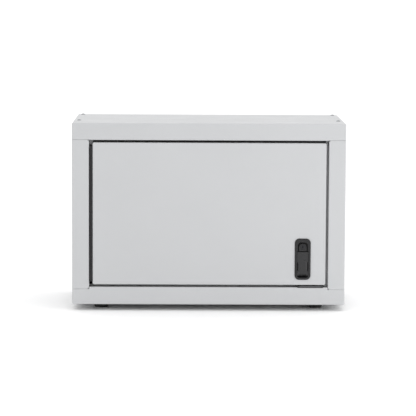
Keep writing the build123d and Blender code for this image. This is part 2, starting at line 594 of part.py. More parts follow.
# ---- pull lever: pivots near its top, lifts out at its foot ----
FOOT_EDGE = 1.6
with BuildPart() as handle_lever:
    with BuildSketch(Plane.YZ.offset(HX - LEVER_W / 2)):
        with BuildLine():
            foot = HZ + LEVER_BOTTOM
            back_z = PIVOT_Z + (LEVER_ROUND**2 - (LEVER_T - LEVER_ROUND)**2) ** 0.5
            Polyline((LEVER_F, PIVOT_Z), (LEVER_F, foot + FOOT_EDGE), (LEVER_F + FOOT_EDGE, foot),
                     (LEVER_F + LEVER_T - FOOT_EDGE, foot), (LEVER_F + LEVER_T, foot + FOOT_EDGE),
                     (LEVER_F + LEVER_T, back_z))
            ThreePointArc((LEVER_F + LEVER_T, back_z), (PIVOT_Y, PIVOT_Z + LEVER_ROUND), (LEVER_F, PIVOT_Z))
        make_face()
    extrude(amount=LEVER_W)
    # sloped grips on both sides of the free end
    fall = tan(radians(GRIP_SLOPE))
    grip_in, grip_out = LEVER_W / 2 - GRIP_W, LEVER_W / 2 + 1
    for side in (-1, 1):
        with BuildSketch(Plane.XY.offset(HZ + GRIP_BOTTOM)):
            with BuildLine():
                Polyline(
                    (HX + side * (grip_in - 1), LEVER_F - fall), (HX + side * grip_out, LEVER_F - fall),
                    (HX + side * grip_out, LEVER_F + fall * (grip_out - grip_in)), close=True)
            make_face()
        extrude(amount=GRIP_TOP - GRIP_BOTTOM, mode=Mode.SUBTRACT)
    block(HX - FINGER_W / 2, HX + FINGER_W / 2, LEVER_F - 1, LEVER_F + LEVER_T + 1,
          HZ + LEVER_BOTTOM - 1, HZ + FINGER_TOP, Mode.SUBTRACT)
    rod_x(PIVOT_Y, PIVOT_Z, PIVOT_R + PIN_FIT, HX - LEVER_W, HX + LEVER_W, Mode.SUBTRACT)
    block(HX - 3.2, HX + 3.2, PIVOT_Y - 2.0, RIM_F + LEVER_T + 1, PIVOT_Z - 2.1, PIVOT_Z + 2.1, Mode.SUBTRACT)
save(handle_lever.part, "handle_lever")

# ---- lever spring: one coil beside the pin's middle, in the lever's pocket ----
SPRING_WIRE = 0.5
with BuildPart() as lever_spring:
    rod_x(PIVOT_Y, PIVOT_Z, PIVOT_R + 0.15 + SPRING_WIRE, HX - 2.6, HX + 2.6)
    rod_x(PIVOT_Y, PIVOT_Z, PIVOT_R + 0.15, HX - 4, HX + 4, Mode.SUBTRACT)
save(lever_spring.part, "lever_spring")

# ---- key cylinder, tongue and the screw that holds the tongue ----
KEY_SLOT_W, KEY_SLOT_H, KEY_SLOT_D = 1.4, 6.4, 8.0
TONGUE_CLEAR = 0.8
TONGUE_F = max(LINER_BACK, LINING_BACK) + TONGUE_CLEAR
TONGUE_SQUARE = 5.4
with BuildPart() as lock_cylinder:
    rod_y(HX, lock_z, CYL_R, BOSS_F + 0.2, FLOOR_Y - 0.4)
    fillet(lock_cylinder.faces().sort_by(Axis.Y)[0].edges(), 0.5)
    rod_y(HX, lock_z, SPINDLE_R, FLOOR_Y - 0.4, TONGUE_F)
    block(HX - TONGUE_SQUARE / 2, HX + TONGUE_SQUARE / 2, TONGUE_F, TONGUE_F + TONGUE_T,
          lock_z - TONGUE_SQUARE / 2, lock_z + TONGUE_SQUARE / 2)
    block(HX - KEY_SLOT_W / 2, HX + KEY_SLOT_W / 2, BOSS_F, BOSS_F + KEY_SLOT_D,
          lock_z - KEY_SLOT_H / 2, lock_z + KEY_SLOT_H / 2, Mode.SUBTRACT)
    rod_y(HX, lock_z, 1.5, TONGUE_F - 6, TONGUE_F + TONGUE_T + 1, Mode.SUBTRACT)
save(lock_cylinder.part, "lock_cylinder")
with BuildPart() as lock_tongue:
    with BuildSketch(Plane.XZ.offset(-TONGUE_F)):
        with Locations((HX, lock_z - TONGUE_LONG / 2 + TONGUE_W / 2)):
            RectangleRounded(TONGUE_W, TONGUE_LONG, 4.0)
        with Locations((HX, lock_z)):
            Rectangle(TONGUE_SQUARE + 2 * PIN_FIT, TONGUE_SQUARE + 2 * PIN_FIT, mode=Mode.SUBTRACT)
    extrude(amount=-TONGUE_T)
save(lock_tongue.part, "lock_tongue")
save(back_screws([(HX, lock_z)], TONGUE_F + TONGUE_T, 4.2, 1.8, 1.5, 7.0), "tongue_screw")

# ---- bench: carries the rack at the height of the sill ----
BENCH_F = LINING_BACK + 9.0
BENCH_X = IN_X - SHEET - 1.0
BENCH_FOOT = 14.0
bench_half = SHEET / 2
with BuildPart() as rack_bench:
    with BuildSketch(Plane.YZ.offset(-BENCH_X)):
        with BuildLine():
            FilletPolyline(
                (BENCH_F + BENCH_FOOT, LOW + SHEET + bench_half), (BENCH_F + bench_half, LOW + SHEET + bench_half),
                (BENCH_F + bench_half, BENCH_TOP - bench_half), (FASCIA_Y - bench_half, BENCH_TOP - bench_half),
                (FASCIA_Y - bench_half, LOW + SHEET + bench_half),
                (FASCIA_Y - BENCH_FOOT, LOW + SHEET + bench_half), radius=BEND - bench_half)
        trace(line_width=SHEET)
    extrude(amount=2 * BENCH_X)
save(rack_bench.part, "rack_bench")

# ---- rack: moulded base with a groove for each divider, dividers, and a soft mat in each slot ----
RACK_W = SLOTS * SLOT_PITCH + 3 * DIVIDER_T
RACK_F = BENCH_F + 6.0
RACK_D = DIVIDER_D + 8.0
BASE_TOP = BENCH_TOP + BASE_T
divider_xs = [(i - SLOTS / 2) * SLOT_PITCH for i in range(SLOTS + 1)]
slot_xs = [(i - (SLOTS - 1) / 2) * SLOT_PITCH for i in range(SLOTS)]
DIVIDER_F = RACK_F + (RACK_D - DIVIDER_D) / 2
MAT_T, MAT_MARGIN = 2.0, 4.0
with BuildPart() as rack_base:
    block(-RACK_W / 2, RACK_W / 2, RACK_F, RACK_F + RACK_D, BENCH_TOP, BASE_TOP)
    fillet(rack_base.faces().sort_by(Axis.Z)[-1].edges(), 1.5)
    for x in divider_xs:
        block(x - DIVIDER_T / 2, x + DIVIDER_T / 2, DIVIDER_F, DIVIDER_F + DIVIDER_D, BASE_TOP - GROOVE, BASE_TOP + 1,
              Mode.SUBTRACT)
save(rack_base.part, "rack_base")
with BuildPart() as divider:
    with BuildSketch(Plane.YZ.offset(-DIVIDER_T / 2)):
        with BuildLine():
            FilletPolyline(
                (DIVIDER_F, BASE_TOP - GROOVE), (DIVIDER_F, BASE_TOP + DIVIDER_H * 0.62),
                (DIVIDER_F + 34.0, BASE_TOP + DIVIDER_H), (DIVIDER_F + DIVIDER_D, BASE_TOP + DIVIDER_H),
                (DIVIDER_F + DIVIDER_D, BASE_TOP - GROOVE), radius=9.0)
            Line((DIVIDER_F + DIVIDER_D, BASE_TOP - GROOVE), (DIVIDER_F, BASE_TOP - GROOVE))
        make_face()
    extrude(amount=DIVIDER_T)
    divider_face = divider.faces().filter_by(Plane.YZ)
    chamfer(divider_face.edges().filter_by_position(Axis.Z, BASE_TOP + DIVIDER_H - 0.1, BASE_TOP + DIVIDER_H + 0.1), 0.8)
save(copies(divider.part, [(x, 0, 0) for x in divider_xs]), "slot_dividers")
with BuildPart() as slot_mats:
    for x in slot_xs:
        block(x - SLOT_PITCH / 2 + DIVIDER_T / 2 + MAT_MARGIN, x + SLOT_PITCH / 2 - DIVIDER_T / 2 - MAT_MARGIN,
              DIVIDER_F + MAT_MARGIN, DIVIDER_F + DIVIDER_D - MAT_MARGIN, BASE_TOP, BASE_TOP + MAT_T)
save(slot_mats.part, "slot_mats")

# ---- charger fascia: upright sheet behind the rack with a socket and a light for each slot ----
SOCKET_W, SOCKET_H, SOCKET_L = 9.4, 3.6, 11.0
LIGHT_UP, LIGHT_R = 13.0, 1.6
FASCIA_FLANGE = 15.0
FASCIA_X = IN_X - SHEET - 0.2
FASCIA_TOP = TOP - 2 * SHEET - 6.0
BOARD_GAP, BOARD_T, BOARD_H = 8.0, 1.6, 64.0
BOARDS = 3
BOARD_W = SLOTS / BOARDS * SLOT_PITCH - 12.0
board_xs = [(i - (BOARDS - 1) / 2) * SLOTS / BOARDS * SLOT_PITCH for i in range(BOARDS)]
BOARD_F = FASCIA_Y + SHEET + BOARD_GAP
board_z = SOCKET_Z + 6.0
spacer_sites = [
    (x + sx * (BOARD_W / 2 - 5), board_z + sz * (BOARD_H / 2 - 5))
    for x in board_xs for sx in (-1, 1) for sz in (-1, 1)]
fascia_screw_sites = [(s * (FASCIA_X - FASCIA_FLANGE / 2), z) for s in (-1, 1) for z in (150.0, 330.0)]
with BuildPart() as charger_fascia:
    with BuildSketch(Plane.XY.offset(BENCH_TOP + 0.5)):
        with BuildLine():
            FilletPolyline(
                (-FASCIA_X + bench_half, FASCIA_Y + FASCIA_FLANGE), (-FASCIA_X + bench_half, FASCIA_Y + bench_half),
                (FASCIA_X - bench_half, FASCIA_Y + bench_half), (FASCIA_X - bench_half, FASCIA_Y + FASCIA_FLANGE),
                radius=BEND - bench_half)
        trace(line_width=SHEET)
    extrude(amount=FASCIA_TOP - BENCH_TOP - 0.5)
    with BuildSketch(Plane.XZ.offset(-FASCIA_Y + 1)):
        with Locations(*[(x, SOCKET_Z) for x in slot_xs]):
            SlotOverall(SOCKET_W + 0.4, SOCKET_H + 0.4)
        with Locations(*[(x, SOCKET_Z + LIGHT_UP) for x in slot_xs]):
            Circle(LIGHT_R)
        with Locations(*spacer_sites):
            Circle(1.5)
        with Locations((0, 350.0)):
            with GridLocations(16.0, 1.0, 24, 1):
                SlotOverall(36.0, 5.0, rotation=90)
    extrude(amount=-SHEET - 2, mode=Mode.SUBTRACT)
save(charger_fascia.part, "charger_fascia")

with BuildPart() as charging_boards:
    for x in board_xs:
        block(x - BOARD_W / 2, x + BOARD_W / 2, BOARD_F, BOARD_F + BOARD_T,
              board_z - BOARD_H / 2, board_z + BOARD_H / 2)
    for x, z in spacer_sites:
        rod_y(x, z, 1.5, BOARD_F - 1, BOARD_F + BOARD_T + 1, Mode.SUBTRACT)
save(charging_boards.part, "charging_boards")
with BuildPart() as board_spacer:
    with BuildSketch(Plane.XZ.offset(-FASCIA_Y - SHEET)):
        RegularPolygon(2.9, 6)
        Circle(1.5, mode=Mode.SUBTRACT)
    extrude(amount=-BOARD_GAP)
save(copies(board_spacer.part, [(x, 0, z) for x, z in spacer_sites]), "board_spacers")
with BuildPart() as spacer_screws:
    add(back_screws(spacer_sites, FASCIA_Y, 2.8, 1.2, 1.45, 4.0, facing=-1))
    add(back_screws(spacer_sites, BOARD_F + BOARD_T, 2.8, 1.2, 1.45, 4.5))
save(spacer_screws.part, "spacer_screws")
with BuildPart() as socket:
    with BuildSketch(Plane.XZ.offset(-BOARD_F + SOCKET_L - 0.4)):
        SlotOverall(SOCKET_W, SOCKET_H)
    extrude(amount=-(SOCKET_L - 0.4))
    with BuildSketch(Plane.XZ.offset(-BOARD_F + SOCKET_L)):
        SlotOverall(SOCKET_W - 1.0, SOCKET_H - 1.0)
    extrude(amount=-8.0, mode=Mode.SUBTRACT)
    with BuildSketch(Plane.XZ.offset(-BOARD_F + SOCKET_L - 2)):
        Rectangle(6.0, 0.7)
    extrude(amount=-6.5)
save(copies(socket.part, [(x, 0, SOCKET_Z) for x in slot_xs]), "charge_sockets")
with BuildPart() as light_pipes:
    for x in slot_xs:
        rod_y(x, SOCKET_Z + LIGHT_UP, LIGHT_R, FASCIA_Y - 0.6, BOARD_F)
save(light_pipes.part, "light_pipes")

# ---- power supply on the back panel ----
TERM_W = 20.0
PSU_COVER_W = PSU_W - TERM_W - 4.0
PSU_F = BACK_IN - PSU_D
psu_l, psu_r = PSU_X - PSU_W / 2, PSU_X + PSU_W / 2
with BuildPart() as psu_base:
    block(psu_l, psu_r, BACK_IN - SHEET, BACK_IN, PSU_Z - PSU_H / 2, PSU_Z + PSU_H / 2)
    block(psu_r - SHEET, psu_r, BACK_IN - 8, BACK_IN, PSU_Z - PSU_H / 2, PSU_Z + PSU_H / 2)
    for x, z in PSU_HOLES:
        rod_y(x, z, 1.5, BACK_IN - SHEET - 1, BACK_IN + 1, Mode.SUBTRACT)
save(psu_base.part, "psu_base")
with BuildPart() as psu_cover:
    block(psu_l, psu_l + PSU_COVER_W, PSU_F, BACK_IN - SHEET, PSU_Z - PSU_H / 2, PSU_Z + PSU_H / 2)
    fillet(psu_cover.faces().sort_by(Axis.Y)[0].edges().filter_by(Axis.X), 1.5)
    block(psu_l + 1, psu_l + PSU_COVER_W - 1, PSU_F + 1, BACK_IN - SHEET + 1, PSU_Z - PSU_H / 2 + 1,
          PSU_Z + PSU_H / 2 - 1, Mode.SUBTRACT)
    with BuildSketch(Plane.XZ.offset(-PSU_F + 1)):
        with Locations((psu_l + PSU_COVER_W / 2, PSU_Z)):
            with GridLocations(9.0, 9.0, 15, 7):
                Circle(2.4)
    extrude(amount=-3, mode=Mode.SUBTRACT)
save(psu_cover.part, "psu_cover")
TERM_F = BACK_IN - 26.0
term_l = psu_r - TERM_W - 2
with BuildPart() as psu_terminals:
    block(term_l, term_l + TERM_W, TERM_F + 5, BACK_IN - SHEET, PSU_Z - 40, PSU_Z + 40)
    with BuildSketch(Plane.XZ.offset(-TERM_F)):
        with Locations((term_l + TERM_W / 2, PSU_Z)):
            with GridLocations(1.0, 10.0, 1, 9):
                Rectangle(TERM_W, 1.4)
    extrude(amount=-6)
    block(term_l, term_l + TERM_W, TERM_F, TERM_F + 1.2, PSU_Z - 40.7, PSU_Z + 40.7)
save(psu_terminals.part, "psu_terminals")
save(back_screws(PSU_HOLES, BACK_IN + SHEET, 2.9, 1.3, 1.5, 2 * SHEET), "psu_screws")

# ---- mains inlet with switch and fuse drawer ----
INLET_OUT = BACK_IN + SHEET
INLET_FACE = INLET_OUT + 2.0
INLET_BACK = INLET_FACE - INLET_D
RECESS_W, RECESS_H, RECESS_D = 24.2, 16.6, 17.0
recess_z = INLET_Z - 24.0
FUSE_W, FUSE_H, FUSE_D, FUSE_FIT = 24.0, 7.0, 13.0, 0.3
fuse_z = INLET_Z - 4.0
ROCKER_W, ROCKER_H, ROCKER_TILT = 12.0, 17.2, 8.0
rocker_z = INLET_Z + 20.0
ROCKER_PIVOT_Y = INLET_FACE - 5.0
ROCKER_FIT = 0.1
with BuildPart() as inlet_housing:
    slab_y(INLET_X, INLET_Z, INLET_FLANGE_W, INLET_FLANGE_H, 4.0, INLET_OUT, INLET_FACE)
    fillet(inlet_housing.faces().sort_by(Axis.Y)[-1].edges(), 0.8)
    slab_y(INLET_X, INLET_Z, INLET_W, INLET_H, 1.5, INLET_BACK, INLET_OUT)
    with BuildSketch(Plane.XZ.offset(-INLET_FACE - 1)):
        with Locations((INLET_X, recess_z)):
            RectangleRounded(RECESS_W, RECESS_H, 2.5)
    extrude(amount=RECESS_D + 1, mode=Mode.SUBTRACT)
    block(INLET_X - FUSE_W / 2 - FUSE_FIT, INLET_X + FUSE_W / 2 + FUSE_FIT, INLET_FACE - FUSE_D - 1, INLET_FACE + 1,
          fuse_z - FUSE_H / 2 - FUSE_FIT, fuse_z + FUSE_H / 2 + FUSE_FIT, Mode.SUBTRACT)
    block(INLET_X - ROCKER_W / 2 - 0.4, INLET_X + ROCKER_W / 2 + 0.4, INLET_FACE - 13, INLET_FACE + 1,
          rocker_z - 10.4, rocker_z + 10.4, Mode.SUBTRACT)
    rod_x(ROCKER_PIVOT_Y, rocker_z, 1.0, INLET_X - ROCKER_W / 2 - 1, INLET_X + ROCKER_W / 2 + 1)
    for x, z in inlet_screw_sites:
        rod_y(x, z, 1.5, INLET_OUT - 1, INLET_FACE + 1, Mode.SUBTRACT)
save(inlet_housing.part, "inlet_housing")
PIN_SITES = [(INLET_X - 7, recess_z - 2), (INLET_X + 7, recess_z - 2), (INLET_X, recess_z + 2)]
with BuildPart() as inlet_pins:
    for x, z in PIN_SITES:
        block(x - 1, x + 1, INLET_FACE - RECESS_D, INLET_FACE - 2, z - 2, z + 2)
        block(x - 0.4, x + 0.4, INLET_BACK - 7, INLET_BACK, z - 2, z + 2)
save(inlet_pins.part, "inlet_pins")
save(back_screws(inlet_screw_sites, INLET_FACE, 2.8, 1.0, 1.5, 6.0), "inlet_screws")

with BuildPart() as rocker_switch:
    with BuildSketch(Plane.YZ.offset(INLET_X - ROCKER_W / 2)):
        with BuildLine():
            Polyline((-3.5, 0), (1.0, -ROCKER_H / 2), (5.5, -ROCKER_H / 2))
            ThreePointArc((5.5, -ROCKER_H / 2), (4.2, 0), (5.5, ROCKER_H / 2))
            Polyline((5.5, ROCKER_H / 2), (1.0, ROCKER_H / 2), (-3.5, 0))
        make_face()
        Circle(1.0 + ROCKER_FIT, mode=Mode.SUBTRACT)
    extrude(amount=ROCKER_W)
rocker = Pos(0, ROCKER_PIVOT_Y, rocker_z) * rocker_switch.part.rotate(Axis.X, -ROCKER_TILT)
save(rocker, "rocker_switch")

with BuildPart() as fuse_drawer:
    block(INLET_X - FUSE_W / 2, INLET_X + FUSE_W / 2, INLET_FACE - FUSE_D, INLET_FACE + 1.0, fuse_z - FUSE_H / 2,
          fuse_z + FUSE_H / 2)
    block(INLET_X - 10.3, INLET_X + 10.3, INLET_FACE - FUSE_D + 2, INLET_FACE - FUSE_D + 7.4, fuse_z - 2.5,
          fuse_z + FUSE_H, Mode.SUBTRACT)
    block(INLET_X - 5, INLET_X + 5, INLET_FACE - 0.2, INLET_FACE + 2, fuse_z - 1.2, fuse_z + 1.2, Mode.SUBTRACT)
save(fuse_drawer.part, "fuse_drawer")
with BuildPart() as fuse:
    rod_x(INLET_FACE - FUSE_D + 4.7, fuse_z, 2.5, INLET_X - 10.0, INLET_X + 10.0)
save(fuse.part, "fuse")

# ---- cooling fan ----
FAN_F = BACK_IN - FAN_D
HUB_R, SHAFT_R = 13.0, 2.0
with BuildPart() as fan_frame:
    slab_y(FAN_X, FAN_Z, FAN_SIZE, FAN_SIZE, 4.0, FAN_F, BACK_IN)
    rod_y(FAN_X, FAN_Z, FAN_BORE, FAN_F - 1, BACK_IN + 1, Mode.SUBTRACT)
    rod_y(FAN_X, FAN_Z, HUB_R, FAN_F, FAN_F + 2)
    with BuildSketch(Plane.XZ.offset(-FAN_F)):
        with Locations((FAN_X, FAN_Z)):
            with PolarLocations(HUB_R + 8.0, 3, start_angle=90):
                Rectangle(17.5, 3.0)
    extrude(amount=-2)
    rod_y(FAN_X, FAN_Z, SHAFT_R, FAN_F, FAN_F + 10)
    for x, z in fan_screw_sites:
        rod_y(x, z, 1.6, FAN_F - 1, BACK_IN + 1, Mode.SUBTRACT)
save(fan_frame.part, "fan_frame")
ROTOR_Z0, ROTOR_H = 2.6, 11.4
blade = Rot(32, 0, 0) * Box(14.4, 1.3, 9.6)
with BuildPart() as rotor:
    with BuildSketch(Plane.XY.offset(ROTOR_Z0)):
        Circle(HUB_R)
    extrude(amount=ROTOR_H)
    fillet(rotor.faces().sort_by(Axis.Z)[-1].edges(), 1.5)
    with BuildSketch(Plane.XY.offset(ROTOR_Z0)):
        Circle(SHAFT_R + PIN_FIT)
    extrude(amount=FAN_D - ROTOR_H + 4.2, mode=Mode.SUBTRACT)
    with Locations((0, 0, ROTOR_Z0 + ROTOR_H / 2)):
        with PolarLocations(HUB_R + 6.6, 7):
            add(blade)
save(Pos(FAN_X, FAN_F, FAN_Z) * rotor.part.rotate(Axis.X, -90), "fan_rotor")
GUARD_RINGS = (8.0, 14.5, 21.0, 27.5)
with BuildPart() as fan_guard:
    with BuildSketch(Plane.XZ.offset(-INLET_OUT)):
        with Locations((FAN_X, FAN_Z)):
            for r in GUARD_RINGS:
                Circle(r + 0.8)
                Circle(r - 0.8, mode=Mode.SUBTRACT)
            with PolarLocations(17.6, 4, start_angle=45):
                Rectangle(21.0, 1.6)
        with Locations(*fan_screw_sites):
            Circle(3.4)
            Circle(1.6, mode=Mode.SUBTRACT)
    extrude(amount=-1.6)
save(fan_guard.part, "fan_guard")
save(back_screws(fan_screw_sites, INLET_OUT + 1.6, 2.9, 0.9, 1.5, 12.0), "fan_screws")

# ---- leads inside the cabinet, from end to end, held by one clip on the fascia ----
MAINS_R, EARTH_R, DC_R = 3.0, 2.0, 2.2
CLIP_X = 125.0
BOARD_BACK = BOARD_F + BOARD_T
TERM_X = term_l + TERM_W / 2
clip_y = FASCIA_Y + SHEET + 2.5 + MAINS_R
MAINS_Z, EARTH_Z = LOW + 108.0, LOW + 94.0


def lead(points, radius):
    """A round lead along straight runs joined by arcs as large as the runs allow."""
    corners = [Vector(*p) for p in points]
    radii = []
    for before, here, after in zip(corners, corners[1:], corners[2:]):
        shorter = min((here - before).length, (after - here).length)
        turn = (here - before).get_angle(after - here)
        radii.append(0.45 * shorter / tan(radians(turn) / 2))
    print("lead radii", [round(r) for r in radii])
    with BuildPart() as tube:
        with BuildLine() as route:
            FilletPolyline(*points, radius=radii)
        with BuildSketch(Plane(origin=route.line @ 0, z_dir=route.line % 0)):
            Circle(radius)
        sweep()
    return tube.part


mains_route = [
    (INLET_X - 7, INLET_BACK - 7, recess_z - 2), (INLET_X - 7, 86, recess_z - 2),
    (INLET_X - 20, clip_y + 6, MAINS_Z - 4), (CLIP_X + 22, clip_y, MAINS_Z), (CLIP_X - 26, clip_y, MAINS_Z), (TERM_X + 30, clip_y + 9, MAINS_Z + 4),
    (TERM_X, 90, MAINS_Z + 10), (TERM_X, TERM_F, MAINS_Z + 10)]
earth_route = [
    (INLET_X, INLET_BACK - 7, recess_z + 2), (INLET_X, 88, recess_z + 2), (INLET_X - 3, 72, recess_z - 12),
    (INLET_X - 24, clip_y + 1, EARTH_Z - 5), (CLIP_X + 20, clip_y - 1, EARTH_Z),
    (CLIP_X - 24, clip_y - 1, EARTH_Z),
    (TERM_X + 32, clip_y + 7, EARTH_Z + 4), (TERM_X, 90, EARTH_Z + 10), (TERM_X, TERM_F, EARTH_Z + 10)]
save(lead(mains_route, MAINS_R), "mains_lead")
save(lead(earth_route, EARTH_R), "earth_lead")
with BuildPart() as dc_leads:
    for i, x in enumerate(board_xs):
        x0 = TERM_X + (i - (BOARDS - 1) / 2) * 6.5
        add(lead([
            (x0, TERM_F, PSU_Z + 24), (x0, 98, PSU_Z + 24), (x0 + (x - x0) * 0.14, 84, PSU_Z + 46),
            (x0 + (x - x0) * 0.5, 80, PSU_Z + 76), (x0 + (x - x0) * 0.86, 82, board_z - 26),
            (x, 84, board_z - 8), (x, BOARD_BACK, board_z - 8)], DC_R))
save(dc_leads.part, "dc_leads")
with BuildPart() as lead_clip:
    slab_y(CLIP_X, (MAINS_Z + EARTH_Z) / 2, 12.0, 26.0, 2.0, FASCIA_Y + SHEET, clip_y + MAINS_R + 2)
    rod_x(clip_y, MAINS_Z, MAINS_R + PIN_FIT, CLIP_X - 9, CLIP_X + 9, Mode.SUBTRACT)
    rod_x(clip_y - 1, EARTH_Z, EARTH_R + PIN_FIT, CLIP_X - 9, CLIP_X + 9, Mode.SUBTRACT)
save(lead_clip.part, "lead_clip")
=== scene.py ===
import math

import bmesh
import bpy
from mathutils import Matrix, Vector


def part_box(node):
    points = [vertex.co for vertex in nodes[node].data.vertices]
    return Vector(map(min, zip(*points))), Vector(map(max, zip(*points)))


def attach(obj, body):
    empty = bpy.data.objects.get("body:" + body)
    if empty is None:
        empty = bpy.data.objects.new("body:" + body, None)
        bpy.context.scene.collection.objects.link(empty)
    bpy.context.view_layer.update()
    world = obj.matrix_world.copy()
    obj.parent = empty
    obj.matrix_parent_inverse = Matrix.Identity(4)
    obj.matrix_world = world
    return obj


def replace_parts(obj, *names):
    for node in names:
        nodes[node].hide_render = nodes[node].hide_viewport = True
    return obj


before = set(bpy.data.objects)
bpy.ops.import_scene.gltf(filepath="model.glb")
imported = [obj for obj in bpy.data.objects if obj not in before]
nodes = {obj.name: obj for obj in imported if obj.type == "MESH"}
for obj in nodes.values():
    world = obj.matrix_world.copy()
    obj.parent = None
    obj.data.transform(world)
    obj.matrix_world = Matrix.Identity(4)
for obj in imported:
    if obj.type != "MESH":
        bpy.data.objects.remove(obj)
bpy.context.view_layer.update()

MM = 0.001


# ---------------------------------------------------------------- materials


class Look:
    """A node material with a Principled shader and short calls to wire it."""

    def __init__(self, name, color, roughness, metallic=0.0, specular=0.5):
        self.material = bpy.data.materials.new(name)
        self.material.use_nodes = True
        self.tree = self.material.node_tree
        self.shader = self.tree.nodes["Principled BSDF"]
        self.put("Base Color", (*color, 1.0))
        self.put("Roughness", roughness)
        self.put("Metallic", metallic)
        self.put("Specular IOR Level", specular)
        self.color = color
        self.normal = None
        self.place = self.node("ShaderNodeTexCoord").outputs["Object"]

    def put(self, socket, value):
        self.shader.inputs[socket].default_value = value

    def node(self, kind, **settings):
        made = self.tree.nodes.new(kind)
        for key, value in settings.items():
            setattr(made, key, value)
        return made

    def link(self, out, into):
        self.tree.links.new(out, into)

    def noise(self, scale, detail=2.0, rough=0.5, stretch=(1.0, 1.0, 1.0)):
        """Noise in object space, scale in features per metre, stretch to draw it out along an axis."""
        mapping = self.node("ShaderNodeMapping")
        mapping.inputs["Scale"].default_value = stretch
        self.link(self.place, mapping.inputs["Vector"])
        made = self.node("ShaderNodeTexNoise")
        made.inputs["Scale"].default_value = scale
        made.inputs["Detail"].default_value = detail
        made.inputs["Roughness"].default_value = rough
        self.link(mapping.outputs["Vector"], made.inputs["Vector"])
        return made.outputs["Fac"]

    def ranged(self, value, low, high, start=0.3, end=0.7):
        made = self.node("ShaderNodeMapRange")
        made.inputs["From Min"].default_value = start
        made.inputs["From Max"].default_value = end
        made.inputs["To Min"].default_value = low
        made.inputs["To Max"].default_value = high
        self.link(value, made.inputs["Value"])
        return made.outputs["Result"]

    def tint(self, value, other):
        """Mixes the base colour towards another by a value."""
        mix = self.node("ShaderNodeMix", data_type="RGBA")
        mix.inputs["A"].default_value = (*self.color, 1.0)
        mix.inputs["B"].default_value = (*other, 1.0)
        self.link(value, mix.inputs["Factor"])
        self.link(mix.outputs["Result"], self.shader.inputs["Base Color"])
        return self

    def rough(self, value):
        self.link(value, self.shader.inputs["Roughness"])
        return self

    def bump(self, value, height, strength=1.0):
        """Adds a bump of a real height in metres."""
        made = self.node("ShaderNodeBump")
        made.inputs["Strength"].default_value = strength
        made.inputs["Distance"].default_value = height
        self.link(value, made.inputs["Height"])
        if self.normal is not None:
            self.link(self.normal, made.inputs["Normal"])
        self.normal = made.outputs["Normal"]
        self.link(self.normal, self.shader.inputs["Normal"])
        return self

    def soft_edges(self, radius):
        """Rounds the shading of sharp edges, as paint and wear do."""
        made = self.node("ShaderNodeBevel", samples=4)
        made.inputs["Radius"].default_value = radius
        self.normal = made.outputs["Normal"]
        self.link(self.normal, self.shader.inputs["Normal"])
        return self


def powder_coat(name, color, peel=1.0):
    """Satin powder coat: orange peel, faint cloudiness, handling marks in the gloss."""
    look = Look(name, color, 0.42, specular=0.42).soft_edges(0.5 * MM)
    look.tint(look.ranged(look.noise(9.0, 3.0), 0.0, 0.5), tuple(c * 0.965 for c in color))
    look.rough(look.ranged(look.noise(14.0, 4.0, 0.6), 0.38, 0.5))
    look.bump(look.noise(620.0, 2.0), 0.012 * MM * peel)
    look.bump(look.noise(55.0, 1.0), 0.03 * MM * peel)
    return look.material


def bare_metal(name, color, roughness, grain=(1.0, 1.0, 14.0), scale=300.0):
    """Metal with a drawn or rolled grain and uneven gloss."""
    look = Look(name, color, roughness, metallic=1.0).soft_edges(0.15 * MM)
    look.tint(look.ranged(look.noise(70.0, 4.0, 0.7), 0.0, 0.7), tuple(c * 0.72 for c in color))
    look.rough(look.ranged(look.noise(scale * 0.3, 3.0), roughness * 0.8, roughness * 1.35))
    look.bump(look.noise(scale, 3.0, 0.6, grain), 0.02 * MM)
    return look.material


def moulded(name, color, roughness, spark=0.018, scale=1500.0, worn=1.3, specular=0.5):
    """Moulded plastic: spark-eroded texture, gloss that varies where it is touched."""
    look = Look(name, color, roughness, specular=specular).soft_edges(0.25 * MM)
    look.tint(look.ranged(look.noise(60.0, 4.0, 0.65), 0.0, 0.8), tuple(min(c * worn, 1.0) for c in color))
    look.rough(look.ranged(look.noise(90.0, 3.0), roughness * 0.85, roughness * 1.2))
    look.bump(look.noise(scale, 3.0, 0.6), spark * MM)
    return look.material


def blackened(name, color):
    """Dark oxide finish on rolled steel, rubbed brighter in places."""
    look = Look(name, color, 0.5, metallic=0.35, specular=0.4).soft_edges(0.2 * MM)
    look.tint(look.ranged(look.noise(110.0, 4.0, 0.7), 0.0, 1.0), tuple(c * 1.8 for c in color))
    look.rough(look.ranged(look.noise(160.0, 3.0), 0.4, 0.62))
    look.bump(look.noise(420.0, 3.0, 0.6, (1.0, 1.0, 6.0)), 0.02 * MM)
    return look.material


def soft_rubber(name, color):
    look = Look(name, color, 0.8, specular=0.3).soft_edges(0.4 * MM)
    look.tint(look.ranged(look.noise(120.0, 5.0, 0.7), 0.0, 1.0), tuple(c * 1.9 + 0.01 for c in color))
    look.rough(look.ranged(look.noise(200.0, 3.0), 0.68, 0.92))
    look.bump(look.noise(900.0, 4.0, 0.7), 0.03 * MM)
    return look.material


def circuit_board(name):
    """Green solder mask over faint copper tracks."""
    look = Look(name, (0.012, 0.10, 0.035), 0.3)
    tracks = look.node("ShaderNodeTexBrick", offset=0.5)
    tracks.inputs["Scale"].default_value = 160.0
    tracks.inputs["Mortar Size"].default_value = 0.09
    turned = look.node("ShaderNodeMapping")
    turned.inputs["Rotation"].default_value = (math.radians(90), 0, 0)
    look.link(look.place, turned.inputs["Vector"])
    look.link(turned.outputs["Vector"], tracks.inputs["Vector"])
    look.tint(look.ranged(tracks.outputs["Fac"], 0.0, 0.7, 0.0, 1.0), (0.02, 0.17, 0.07))
    look.rough(look.ranged(look.noise(80.0), 0.22, 0.4))
    look.bump(tracks.outputs["Fac"], 0.03 * MM)
    return look.material


